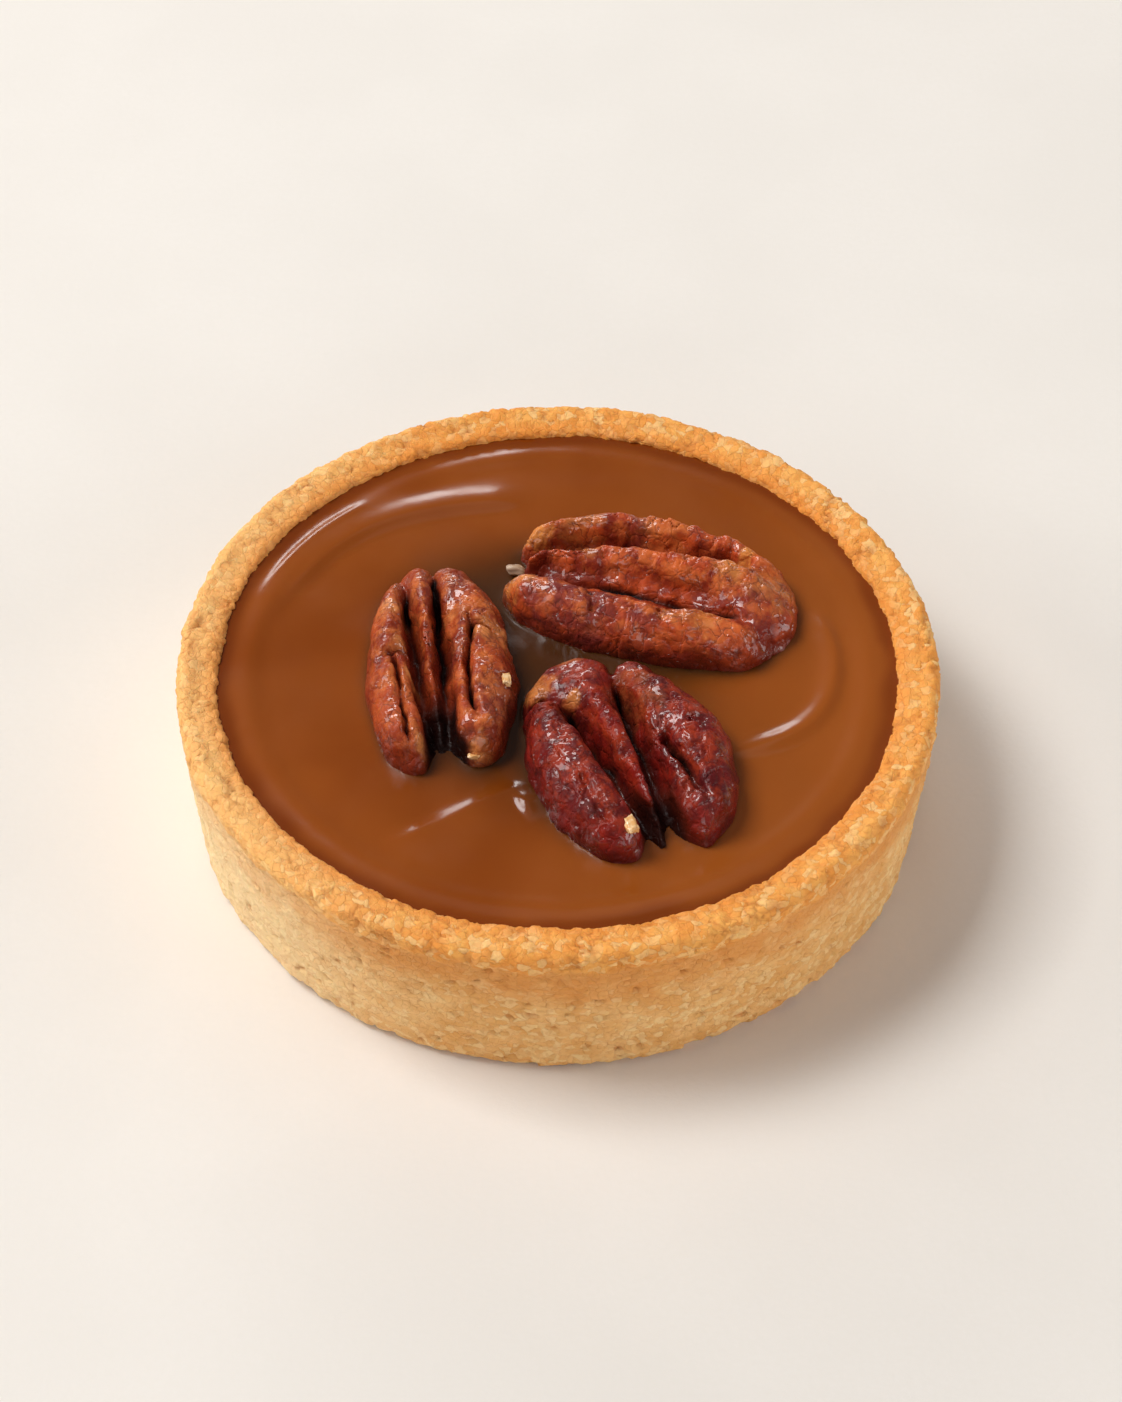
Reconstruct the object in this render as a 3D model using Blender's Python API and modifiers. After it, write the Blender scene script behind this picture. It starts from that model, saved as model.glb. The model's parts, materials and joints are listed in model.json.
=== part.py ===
"""Caramel pecan tartlet: a shortcrust case, its set caramel and three pecan halves.

Metres, +Z up. The origin is the centre of the case's underside, and -Y is the front.
"""

import math

import bmesh
import bpy
from mathutils import Matrix, Vector

MM = 0.001
AROUND = 84  # facets round the tartlet
MERGE = 0.00005
GAP = 0.3 * MM  # between pieces that touch

# The case, a turned wall and floor of one thickness
RIM_RADIUS = 40.0 * MM
BASE_RADIUS = 38.9 * MM
CASE_HEIGHT = 19.4 * MM
WALL = 4.4 * MM
FLOOR = 4.4 * MM
OUTER_EDGE = 2.0 * MM  # roundings
INNER_EDGE = 0.9 * MM
BASE_EDGE = 1.2 * MM
FLOOR_FILLET = 2.5 * MM
RIM_FALL = 0.5 * MM  # the rim slopes down to the caramel
RIM_WOBBLE = 0.5 * MM
WOBBLE_LENGTH = 9.0 * MM

# The caramel
LEVEL = 18.0 * MM
CARAMEL_RINGS = 17
SHOULDER = 0.2 * MM  # the low ring where the caramel was pushed to the wall
SHOULDER_RADIUS = 32.4 * MM
SHOULDER_WIDTH = 1.8 * MM
EDGE_DROP = 0.35 * MM

# Spoon marks: ridges along arcs, each with a steep inner flank and a gentle outer one.
# Centre x and y, radius, first and last angle in degrees, height, inner and outer width
SWIRLS = (
    (19.5, -1.5, 9.6, 35, -95, 0.55, 1.0, 2.2),
    (-0.2, -34.6, 18.3, 140, 96, 0.5, 1.6, 1.0),
    (-2.0, -4.5, 30.3, 62, 158, 0.3, 1.2, 2.0),
)
SWIRL_FADE = 14.0  # degrees over which a ridge dies away at each end

# The pecan halves lie dome up, sunk a little in the caramel. Sizes in millimetres.
# A row of three holds the values at the open end, the middle and the closed end.
PECAN_SINK = 2.2
LOBE_AXIS = 0.8  # height of a lobe's own axis above the caramel
LOBE_OVERLAP = 0.75  # share of the ridge's half-width at which the side lobes start
LOBE_POINTS = 11
PECANS = {
    "pecan_left": dict(
        centre=(-12.3, -0.9),
        heading=94.7,
        length=28.0,
        widths=(7.6, 7.9),
        crest=5.4,
        ridge_at=(0.5, 1.4, 1.7),
        ridge_half=(0.7, 1.1, 1.7),
    ),
    "pecan_far": dict(
        centre=(10.3, 10.5),
        heading=-13.0,
        length=30.6,
        widths=(9.6, 9.8),
        crest=6.2,
        ridge_at=(0.8, -0.2, -0.9),
        ridge_half=(1.1, 2.2, 2.8),
    ),
    "pecan_front": dict(
        centre=(6.9, -14.0),
        heading=109.8,
        length=26.6,
        widths=(9.4, 10.6),
        crest=5.9,
        ridge_at=(-0.6, 0.4, 1.5),
        ridge_half=(1.1, 2.1, 3.2),
    ),
}

# Linear colours
CRUST = (0.66, 0.32, 0.10)
CARAMEL = (0.24, 0.075, 0.018)
PECAN = (0.20, 0.045, 0.015)


def clear_scene():
    for obj in list(bpy.data.objects):
        bpy.data.objects.remove(obj)


def collection(name):
    made = bpy.data.collections.new(name)
    bpy.context.scene.collection.children.link(made)
    return made


def material(name, colour, roughness):
    made = bpy.data.materials.new(name)
    made.use_nodes = True
    shader = made.node_tree.nodes["Principled BSDF"]
    shader.inputs["Base Color"].default_value = (*colour, 1.0)
    shader.inputs["Roughness"].default_value = roughness
    shader.inputs["Metallic"].default_value = 0.0
    return made


def smoothstep(low, high, value):
    share = min(1.0, max(0.0, (value - low) / (high - low)))
    return share * share * (3.0 - 2.0 * share)


def arc(centre_r, centre_z, radius, first, last, steps):
    """Points of an arc in the profile's plane, angles in degrees from +X."""
    angles = [math.radians(first + (last - first) * k / steps) for k in range(steps + 1)]
    return [
        (centre_r + radius * math.cos(a), centre_z + radius * math.sin(a))
        for a in angles
    ]


def turned(name, profile, group, parent):
    """A profile of (radius, height, weight) turned about Z; the weights go in a vertex group."""
    mesh = bpy.data.meshes.new(name)
    edges = [(k, k + 1) for k in range(len(profile) - 1)]
    mesh.from_pydata([(r, 0.0, z) for r, z, _ in profile], edges, [])
    obj = bpy.data.objects.new(name, mesh)
    parent.objects.link(obj)
    weights = obj.vertex_groups.new(name=group)
    for index, (_, _, weight) in enumerate(profile):
        weights.add([index], weight, "REPLACE")
    screw = obj.modifiers.new("Turn", "SCREW")
    screw.steps = AROUND
    screw.render_steps = AROUND
    screw.use_merge_vertices = True
    screw.merge_threshold = MERGE
    return obj


def case_profile():
    """From the middle of the floor, up the inside, over the rim, down the outside and back to the axis."""
    rim_fall_angle = math.degrees(math.atan2(RIM_FALL, WALL))
    inner_top = RIM_RADIUS - WALL
    inner_edge_z = CASE_HEIGHT - RIM_FALL - INNER_EDGE
    inside = [(0.0, FLOOR, 0.0), (16.0 * MM, FLOOR, 0.0)]
    fillet_r = inner_top - 0.6 * MM - FLOOR_FILLET
    fillet = arc(fillet_r, FLOOR + FLOOR_FILLET, FLOOR_FILLET, -90, 0, 3)
    inner_rim = arc(inner_top + INNER_EDGE, inner_edge_z, INNER_EDGE, 180, 90 + rim_fall_angle, 3)
    outer_rim = arc(RIM_RADIUS - OUTER_EDGE, CASE_HEIGHT - OUTER_EDGE, OUTER_EDGE, 90, 0, 4)
    base = arc(BASE_RADIUS - BASE_EDGE, BASE_EDGE, BASE_EDGE, 0, -90, 3)
    wall = [
        (BASE_RADIUS + (RIM_RADIUS - BASE_RADIUS) * share, CASE_HEIGHT * share, 0.6)
        for share in (0.6, 0.32)
    ]
    return (
        inside
        + [(r, z, 0.0) for r, z in fillet]
        + [(r, z, 1.0) for r, z in inner_rim + outer_rim]
        + wall
        + [(r, z, 0.0) for r, z in base]
        + [(0.0, 0.0, 0.0)]
    )


def make_case(parent):
    case = turned("crust", case_profile(), "uneven", parent)
    clouds = bpy.data.textures.new("Dough", "CLOUDS")
    clouds.noise_scale = WOBBLE_LENGTH
    wobble = case.modifiers.new("Hand pressed", "DISPLACE")
    wobble.texture = clouds
    wobble.texture_coords = "LOCAL"
    wobble.strength = RIM_WOBBLE
    wobble.vertex_group = "uneven"
    case.data.materials.append(material("Baked shortcrust", CRUST, 0.85))
    return case


def ridge_height(x, y, swirl):
    """Height that one spoon mark adds at a point, all in millimetres."""
    centre_x, centre_y, radius, first, last, height, inner, outer = swirl
    offset = math.hypot(x - centre_x, y - centre_y) - radius
    middle = (first + last) / 2
    angle = math.degrees(math.atan2(y - centre_y, x - centre_x))
    away = abs((angle - middle + 180.0) % 360.0 - 180.0)
    fade = 1.0 - smoothstep(abs(last - first) / 2 - SWIRL_FADE, abs(last - first) / 2, away)
    width = inner if offset < 0 else outer
    return height * fade * math.exp(-((offset / width) ** 2))


def caramel_relief(x, y):
    """Height of the set caramel's surface above its level."""
    radius = math.hypot(x, y)
    ring = SHOULDER * math.exp(-(((radius - SHOULDER_RADIUS) / SHOULDER_WIDTH) ** 2))
    drop = EDGE_DROP * smoothstep(SHOULDER_RADIUS, RIM_RADIUS - WALL, radius)
    marks = sum(ridge_height(x / MM, y / MM, swirl) for swirl in SWIRLS) * MM
    return ring - drop + marks


def make_caramel(parent):
    """The caramel fills the case up to its level, with the spoon marks on top."""
    wall_r = RIM_RADIUS - WALL - GAP
    foot_r = wall_r - 0.6 * MM - FLOOR_FILLET
    top = [(wall_r * k / CARAMEL_RINGS, LEVEL, 1.0) for k in range(CARAMEL_RINGS + 1)]
    foot = arc(foot_r, FLOOR + GAP + FLOOR_FILLET, FLOOR_FILLET, 0, -90, 3)
    profile = top + [(r, z, 0.0) for r, z in foot] + [(0.0, FLOOR + GAP, 0.0)]
    caramel = turned("caramel", profile, "top", parent)
    graph = bpy.context.evaluated_depsgraph_get()
    mesh = bpy.data.meshes.new_from_object(caramel.evaluated_get(graph))
    caramel.modifiers.clear()
    caramel.data = mesh
    for vertex in mesh.vertices:
        if vertex.co.z > LEVEL - MERGE:
            vertex.co.z += caramel_relief(vertex.co.x, vertex.co.y)
    mesh.materials.append(material("Set caramel", CARAMEL, 0.3))
    return caramel


def along(values, share):
    """The value at a share of the length, by a parabola through the three given."""
    first, middle, last = values
    return (
        first * (1 - share) * (1 - 2 * share)
        + middle * 4 * share * (1 - share)
        + last * share * (2 * share - 1)
    )


def outline(pecan, side, share):
    """Half-width of the nut at a share of its length, from its open end to its closed one."""
    widest = pecan["widths"][0 if side > 0 else 1]
    swell = math.sin(math.pi * share**0.9) ** 0.55
    return widest * swell


def lobe_line(pecan, side):
    """(x, y, radius) along one lobe: side 1 is the left one, -1 the right one, 0 the ridge."""
    line = []
    for k in range(LOBE_POINTS):
        share = 0.5 - 0.5 * math.cos(math.pi * (k + 0.5) / LOBE_POINTS)
        x = (share - 0.5) * pecan["length"]
        reach = min(outline(pecan, 1, share), outline(pecan, -1, share))
        middle = max(-0.3 * reach, min(0.3 * reach, along(pecan["ridge_at"], share)))
        half = min(0.4 * reach, along(pecan["ridge_half"], share))
        if side == 0:
            line.append((x, middle, half))
            continue
        inner = side * middle + LOBE_OVERLAP * half
        outer = outline(pecan, side, share)
        line.append((x, side * (outer + inner) / 2, (outer - inner) / 2))
    return line


def lobe(pecan, side, clearance):
    """One lobe as a closed mesh: a tube whose radius follows the nut, stretched to its crest."""
    line = lobe_line(pecan, side)
    widest = max(radius for _, _, radius in line)
    stretch = (pecan["crest"] - LOBE_AXIS) / widest
    curve = bpy.data.curves.new("lobe", "CURVE")
    curve.dimensions = "3D"
    curve.bevel_depth = MM
    curve.bevel_resolution = 3
    curve.use_fill_caps = True
    spline = curve.splines.new("POLY")
    spline.points.add(len(line) - 1)
    for point, (x, y, radius) in zip(spline.points, line, strict=True):
        point.co = (x * MM, y * MM, 0.0, 1.0)
        point.radius = radius + clearance
    obj = bpy.data.objects.new("lobe", curve)
    bpy.context.scene.collection.objects.link(obj)
    graph = bpy.context.evaluated_depsgraph_get()
    mesh = bpy.data.meshes.new_from_object(obj.evaluated_get(graph))
    bpy.data.objects.remove(obj)
    mesh.transform(Matrix.Diagonal((1.0, 1.0, stretch, 1.0)))
    mesh.transform(Matrix.Translation((0.0, 0.0, LOBE_AXIS * MM)))
    solid = bmesh.new()
    solid.from_mesh(mesh)
    bmesh.ops.remove_doubles(solid, verts=solid.verts, dist=MERGE)
    solid.to_mesh(mesh)
    solid.free()
    return mesh


def core(pecan, clearance):
    """The body under the grooves, an ellipsoid that joins the three lobes."""
    mesh = bpy.data.meshes.new("core")
    solid = bmesh.new()
    bmesh.ops.create_uvsphere(solid, u_segments=20, v_segments=10, radius=1.0)
    solid.to_mesh(mesh)
    solid.free()
    size = (
        0.46 * pecan["length"] + clearance,
        0.82 * sum(pecan["widths"]) / 2 + clearance,
        0.55 * pecan["crest"] + clearance,
    )
    mesh.transform(Matrix.Diagonal((*[side * MM for side in size], 1.0)))
    return mesh


def pecan_half(name, pecan, clearance, parent):
    """Lobes and core joined, cut off flat under the caramel, and laid in place."""
    body = bpy.data.objects.new(name, core(pecan, clearance))
    parent.objects.link(body)
    for side in (1, 0, -1):
        helper = bpy.data.objects.new(f"{name}_lobe", lobe(pecan, side, clearance))
        parent.objects.link(helper)
        join = body.modifiers.new("Join", "BOOLEAN")
        join.operation = "UNION"
        join.solver = "MANIFOLD"
        join.object = helper
        graph = bpy.context.evaluated_depsgraph_get()
        joined = bpy.data.meshes.new_from_object(body.evaluated_get(graph))
        body.modifiers.clear()
        body.data = joined
        bpy.data.objects.remove(helper)
    solid = bmesh.new()
    solid.from_mesh(body.data)
    floor = Vector((0.0, 0.0, -(PECAN_SINK + clearance) * MM))
    cut = bmesh.ops.bisect_plane(
        solid,
        geom=solid.verts[:] + solid.edges[:] + solid.faces[:],
        plane_co=floor,
        plane_no=(0.0, 0.0, -1.0),
        clear_outer=True,
    )
    rim = [item for item in cut["geom_cut"] if isinstance(item, bmesh.types.BMEdge)]
    bmesh.ops.contextual_create(solid, geom=rim)
    solid.to_mesh(body.data)
    solid.free()
    x, y = pecan["centre"]
    body.location = (x * MM, y * MM, LEVEL)
    body.rotation_euler.z = math.radians(pecan["heading"])
    return body


def make_pecans(parent, cutters, caramel):
    for name, pecan in PECANS.items():
        nut = pecan_half(name, pecan, 0.0, parent)
        nut.data.materials.append(material(f"{name} skin", PECAN, 0.4))
        cutter = pecan_half(f"{name}_cutter", pecan, GAP / MM, cutters)
        cutter.hide_render = True
        cutter.display_type = "WIRE"
        pocket = caramel.modifiers.new("Pocket", "BOOLEAN")
        pocket.operation = "DIFFERENCE"
        pocket.solver = "MANIFOLD"
        pocket.object = cutter


def shade(parent):
    for obj in parent.objects:
        obj.data.shade_smooth()
        obj.data.set_sharp_from_angle(angle=math.radians(40))


def main():
    clear_scene()
    tartlet = collection("Caramel pecan tartlet")
    cutters = collection("Cutters")
    make_case(tartlet)
    caramel = make_caramel(tartlet)
    make_pecans(tartlet, cutters, caramel)
    shade(tartlet)


main()
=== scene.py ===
"""Looks of the caramel pecan tartlet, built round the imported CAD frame.

The shapes are worked out in millimetres in the row frame (+Z up, -Y the front) and become
metres only where a mesh is made.
"""

import json
import math

import bmesh
import bpy
import numpy as np
from mathutils import Matrix, Vector

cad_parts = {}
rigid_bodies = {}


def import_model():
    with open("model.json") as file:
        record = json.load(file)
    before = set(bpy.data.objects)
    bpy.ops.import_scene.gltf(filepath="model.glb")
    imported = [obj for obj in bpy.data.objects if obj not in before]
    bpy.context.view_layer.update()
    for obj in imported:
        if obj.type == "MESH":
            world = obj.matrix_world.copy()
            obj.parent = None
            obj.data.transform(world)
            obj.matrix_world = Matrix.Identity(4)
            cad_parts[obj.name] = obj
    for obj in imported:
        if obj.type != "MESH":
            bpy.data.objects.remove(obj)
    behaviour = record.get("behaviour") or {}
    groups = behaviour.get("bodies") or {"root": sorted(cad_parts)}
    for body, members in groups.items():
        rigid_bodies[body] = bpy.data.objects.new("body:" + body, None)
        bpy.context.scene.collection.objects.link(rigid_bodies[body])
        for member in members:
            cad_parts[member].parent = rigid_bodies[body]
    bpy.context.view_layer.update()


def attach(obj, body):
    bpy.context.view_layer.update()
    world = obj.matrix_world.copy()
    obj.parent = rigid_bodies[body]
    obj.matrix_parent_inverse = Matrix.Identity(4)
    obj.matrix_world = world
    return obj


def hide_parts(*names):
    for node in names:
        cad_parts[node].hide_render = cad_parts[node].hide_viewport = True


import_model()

MM = 0.001

# The crust, with the CAD's outer sizes, wall and floor
RIM_RADIUS = 40.0
BASE_RADIUS = 38.9
CRUST_HEIGHT = 19.4
WALL = 4.4
FLOOR = 4.4
RIM_FALL = 0.5  # the rim slopes down to the caramel
OUTER_EDGE = 1.1  # roundings
INNER_EDGE = 0.9
BASE_EDGE = 1.2
FAN_RADIUS = 8.0  # inside it a flat fan closes the floor and the base
CRUST_AROUND = 880
CRUST_STEP = 0.27

# The caramel
LEVEL = 18.0
CARAMEL_RADIUS = 36.3  # it reaches just into the wall
CARAMEL_MIDDLE = 0.3  # radius of the innermost row
CARAMEL_UNDERSIDE = 15.0
CARAMEL_AROUND = 720
CARAMEL_STEP = 0.32

# The nuts
NUT_STEP = 0.16
NUT_SINK = 2.2
NUT_TOP = 7.6  # above every lobe's crest
LOBE_BLEND = 0.3  # rounding where two lobes meet
LOBE_CORE = 3.2  # rounding for a body whose valleys are filled in
NUT_AXIS = 0.3  # height of the lobes' axis above the caramel
UNDER_AXIS = 3.6  # their half-height below it

# The camera, with its aim shifted along the picture's own right and up
CAMERA_ELEVATION = 47.09
CAMERA_DISTANCE = 350.0
CAMERA_LENS = 84.0
CAMERA_SENSOR = 36.0
AIM_HEIGHT = 10.0
AIM_RIGHT = 0.33
AIM_UP = 1.93

# The light
WORLD_STRENGTH = 0.13
LAMPS = (  # name, azimuth, elevation, distance, (width, height), power
    ("key", -108, 57, 1.6, (0.7, 0.7), 19.5),
    ("left", -88, 24, 1.9, (1.2, 0.6), 10.5),
    ("top", 180, 80, 1.8, (1.0, 1.0), 1.0),
    ("right", 80, 15, 1.9, (1.4, 0.8), 13.5),
    ("front", 5, 18, 1.9, (1.4, 0.8), 7.5),
    ("back", 196, 18, 1.9, (1.1, 0.28), 9.0),
)
TABLE_HALF = 1.5  # metres


# Noise


def hashed(ix, iy, iz, seed):
    """A repeatable whole number for each whole-number point."""
    h = (ix * 374761393 + iy * 668265263 + iz * 1274126177 + seed * 974634777) & 0xFFFFFFFF
    h = ((h ^ (h >> 13)) * 1103515245) & 0xFFFFFFFF
    return h ^ (h >> 16)


GRADIENTS = np.array(
    [
        (x, y, z)
        for x in (-1, 0, 1)
        for y in (-1, 0, 1)
        for z in (-1, 0, 1)
        if abs(x) + abs(y) + abs(z) == 2
    ]
    + [(1, 1, 0), (-1, 1, 0), (0, -1, 1), (0, -1, -1)],
    float,
)


def noise(p, seed=0):
    """Gradient noise, about -0.7 to 0.7, with features one unit across."""
    whole = np.floor(p).astype(np.int64)
    part = p - whole
    ease = part**3 * (part * (part * 6 - 15) + 10)
    total = np.zeros(len(p))
    for corner in range(8):
        dx, dy, dz = corner & 1, corner >> 1 & 1, corner >> 2 & 1
        h = hashed(whole[:, 0] + dx, whole[:, 1] + dy, whole[:, 2] + dz, seed)
        away = part - (dx, dy, dz)
        slope = (GRADIENTS[h & 15] * away).sum(1)
        share_x = ease[:, 0] if dx else 1 - ease[:, 0]
        share_y = ease[:, 1] if dy else 1 - ease[:, 1]
        share_z = ease[:, 2] if dz else 1 - ease[:, 2]
        total += slope * share_x * share_y * share_z
    return total


def layered(p, octaves, seed=0):
    """Noise with finer and fainter noise on top."""
    total = np.zeros(len(p))
    for k in range(octaves):
        total += 0.5**k * noise(p * 2.0**k, seed + k)
    return total


def wander(p, seed, seed_step=1):
    """Three noises as a vector for each point."""
    return np.stack([noise(p, seed + seed_step * k) for k in range(3)], 1)


def cells(p, seed=0):
    """(distance to the nearest cell point, distance to the second, the nearest cell's own 0 to 1)."""
    whole = np.floor(p).astype(np.int64)
    first = np.full(len(p), 9.0)
    second = np.full(len(p), 9.0)
    number = np.zeros(len(p))
    for shift in range(27):
        at = whole + (shift % 3 - 1, shift // 3 % 3 - 1, shift // 9 - 1)
        x, y, z = at.T
        h = [hashed(x, y, z, seed + k) / 2.0**32 for k in (11, 12, 13)]
        away = np.sqrt(((at + np.stack(h, 1) - p) ** 2).sum(1))
        nearer = away < first
        second = np.where(nearer, first, np.minimum(second, away))
        number = np.where(nearer, hashed(x, y, z, seed + 14) / 2.0**32, number)
        first = np.where(nearer, away, first)
    return first, second, number


def step_up(low, high, value):
    """0 below low, 1 above high, smooth between. With low above high it falls instead."""
    share = np.clip((value - low) / (high - low), 0, 1)
    return share * share * (3 - 2 * share)


def bell(value, width):
    """1 where the value is 0, falling smoothly to 0 on both sides."""
    return np.exp(-((value / width) ** 2))


# Meshes


def mesh_piece(name, points, faces, material, attributes=None):
    """An object from points in millimetres and a list of faces, smooth, that rides on the tartlet."""
    mesh = bpy.data.meshes.new(name)
    mesh.from_pydata((points * MM).tolist(), [], faces)
    for key, values in (attributes or {}).items():
        held = mesh.attributes.new(key, "FLOAT", "POINT")
        held.data.foreach_set("value", values.astype(np.float32))
    mesh.shade_smooth()
    mesh.materials.append(material)
    obj = bpy.data.objects.new(name, mesh)
    bpy.context.scene.collection.objects.link(obj)
    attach(obj, "root")
    return obj


def ring_faces(rows, around):
    """Quads between rows of points that each run once round; they face out for rows that run down."""
    row, step = np.meshgrid(np.arange(rows - 1), np.arange(around), indexing="ij")
    after = (step + 1) % around
    here, below = row * around, (row + 1) * around
    quads = np.stack([here + step, below + step, below + after, here + after], -1)
    return quads.reshape(-1, 4)


def closed_ends(points, faces, around):
    """(points, list of faces) with a fan on the first and on the last row."""
    start = points[:around].mean(0)
    end = points[-around:].mean(0)
    count = len(points)
    last = count - around
    sides = [(k, (k + 1) % around) for k in range(around)]
    fans = [(count, a, b) for a, b in sides]
    fans += [(count + 1, last + b, last + a) for a, b in sides]
    return np.vstack([points, start, end]), faces.tolist() + fans


def arc(centre_r, centre_z, radius, first, last):
    """Points of (radius, height) along an arc between two angles in degrees."""
    steps = max(3, int(abs(last - first) / 8))
    angles = np.radians(np.linspace(first, last, steps + 1))
    return np.stack([centre_r + radius * np.cos(angles), centre_z + radius * np.sin(angles)], 1)


def evenly(line, spacing):
    """The same line with points at even spacing."""
    length = np.concatenate([[0], np.cumsum(np.linalg.norm(np.diff(line, axis=0), axis=1))])
    at = np.linspace(0, length[-1], int(length[-1] / spacing) + 1)
    return np.stack([np.interp(at, length, line[:, k]) for k in (0, 1)], 1)


def turned(profile, around):
    """(points, unit normals) of a profile of (radius, height) turned about Z."""
    along = np.gradient(profile, axis=0)
    along /= np.linalg.norm(along, axis=1)[:, None] + 1e-12
    normal_r, normal_z = -along[:, 1], along[:, 0]
    angle = np.arange(around) * 2 * np.pi / around
    x = profile[:, :1] * np.cos(angle)
    y = profile[:, :1] * np.sin(angle)
    z = np.repeat(profile[:, 1:], around, 1)
    nx = normal_r[:, None] * np.cos(angle)
    ny = normal_r[:, None] * np.sin(angle)
    nz = np.repeat(normal_z[:, None], around, 1)
    return np.stack([x, y, z], -1).reshape(-1, 3), np.stack([nx, ny, nz], -1).reshape(-1, 3)


# Crust


def crust_profile():
    """(points, rows inside the wall, rows under the base): up the wall, over the rim, down and under."""
    inner = RIM_RADIUS - WALL
    fall = math.degrees(math.atan2(RIM_FALL, WALL))
    shown = np.vstack(
        [
            [(inner, LEVEL - 2.2)],
            arc(inner + INNER_EDGE, CRUST_HEIGHT - RIM_FALL - INNER_EDGE, INNER_EDGE, 180, 90 + fall),
            arc(RIM_RADIUS - OUTER_EDGE, CRUST_HEIGHT - OUTER_EDGE, OUTER_EDGE, 90, 0),
            arc(BASE_RADIUS - BASE_EDGE, BASE_EDGE, BASE_EDGE, 0, -90),
        ]
    )
    inside = [(FAN_RADIUS, FLOOR), (inner - 3.0, FLOOR), (inner - 0.6, 7.0), (inner - 0.2, LEVEL - 4.0)]
    under = [(BASE_RADIUS - 3.0, 0.0), (RIM_RADIUS / 2, 0.0), (FAN_RADIUS, 0.0)]
    return np.vstack([inside, evenly(shown, CRUST_STEP), under]), len(inside), len(under)


def rim_relief(p):
    """(height, depth in a crevice) of the rim: lumps, finer grains and the seams between them."""
    bent = p + 0.5 * wander(p / 1.2, 21)
    near, second, number = cells(bent / 1.5, 3)
    seam = bell(second - near, 0.14) * step_up(0.0, 0.4, noise(p / 2.6, 5))
    lump = 0.10 * (0.5 - near) + 0.14 * (number - 0.5)
    near, second, number = cells(bent / 0.85, 7)
    grain = 0.10 * (0.5 - near) + 0.20 * (number - 0.5)
    small_seam = bell(second - near, 0.18) * step_up(0.0, 0.35, noise(p / 1.9, 9))
    fine = 0.10 * layered(p / 1.0, 2, 12)
    height = lump + grain + fine - 0.22 * seam - 0.14 * small_seam
    return height, np.clip(0.8 * seam + 0.5 * small_seam, 0, 1)


def wall_relief(p, foot):
    """(height, depth in a crevice) of the wall: flat plates, the seams between them and open pits."""
    bent = p + 0.8 * wander(p / 1.7, 25)
    near, second, number = cells(bent / (2.6, 2.6, 1.5), 15)
    seam = bell(second - near, 0.10) * step_up(0.12, 0.4, noise(p / 2.4, 17))
    ragged = 0.35 * wander(p / 0.5, 35)
    pit_near, _, pit_number = cells((p + 0.5 * (bent - p) + ragged) / (2.0, 2.0, 0.9), 19)
    often = 0.90 - 0.26 * foot - 0.12 * step_up(0.0, 0.4, noise(p / 7, 20))
    pits = step_up(0.42, 0.12, pit_near) * (pit_number > often)
    flat = 0.20 * (number - 0.5) + 0.15 * layered(p / (1.1, 1.1, 0.8), 2, 23)
    return flat - 0.18 * seam - 0.5 * pits, np.clip(0.55 * seam + pits, 0, 1)


def crust_relief(p, rim, foot):
    """Height of the crumb above the smooth crust, and how deep in a crevice each point lies."""
    sag = 0.26 * layered(p / 10, 2, 1)
    rim_height, rim_crevice = rim_relief(p)
    wall_height, wall_crevice = wall_relief(p, foot)
    height = sag + rim * rim_height + (1 - rim) * wall_height
    return height, rim * rim_crevice + (1 - rim) * wall_crevice


def make_crust(material):
    """The crust, rough on the rim and the wall and smooth where the caramel or the table hides it."""
    profile, inside_rows, under_rows = crust_profile()
    points, normals = turned(profile, CRUST_AROUND)
    radius = np.hypot(points[:, 0], points[:, 1])
    z = points[:, 2]
    edge = 0.7 * noise(points / (2.2, 2.2, 1.6), 31)
    rim = step_up(CRUST_HEIGHT - 3.0, CRUST_HEIGHT - 1.9, z + edge)
    under_lip = bell(z + edge - CRUST_HEIGHT + 3.4, 0.7) * (radius > RIM_RADIUS - 1.5)
    foot = step_up(8.0, 2.0, z)
    height, crevice = crust_relief(points, rim, foot)
    lip = 0.12 * bell(z + edge - CRUST_HEIGHT + 1.5, 1.0) * (radius > RIM_RADIUS - 1)
    lip -= 0.05 * under_lip
    chipped = -0.45 * step_up(0.05, 0.4, noise(points / (1.6, 1.6, 3.0), 33)) * step_up(1.5, 0.3, z)
    rows = len(profile)
    row = np.repeat(np.arange(rows), CRUST_AROUND)
    free = step_up(inside_rows - 1, inside_rows + 4, row)
    free *= step_up(rows - under_rows, rows - under_rows - 5, row)
    points = points + normals * ((height + lip + chipped) * free)[:, None]
    faces = ring_faces(rows, CRUST_AROUND)
    points, faces = closed_ends(points, faces, CRUST_AROUND)
    ends = [0.0, 0.0]
    attributes = {
        "rim": np.append(rim, ends),
        "crevice": np.append(crevice * free, ends),
        "lumps": np.append(height, ends),
        "tall": np.append(z / CRUST_HEIGHT, ends),
        # pale: painted light, the left side of the crust made paler where the lamps fall from the left
        "pale": step_up(-10, -34, points[:, 0]),
        "inner": np.append(step_up(RIM_RADIUS - WALL + 2.2, RIM_RADIUS - WALL + 0.4, radius), ends),
    }
    crust = mesh_piece("crust_crumb", points, faces, material, attributes)
    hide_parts("crust")
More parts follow.
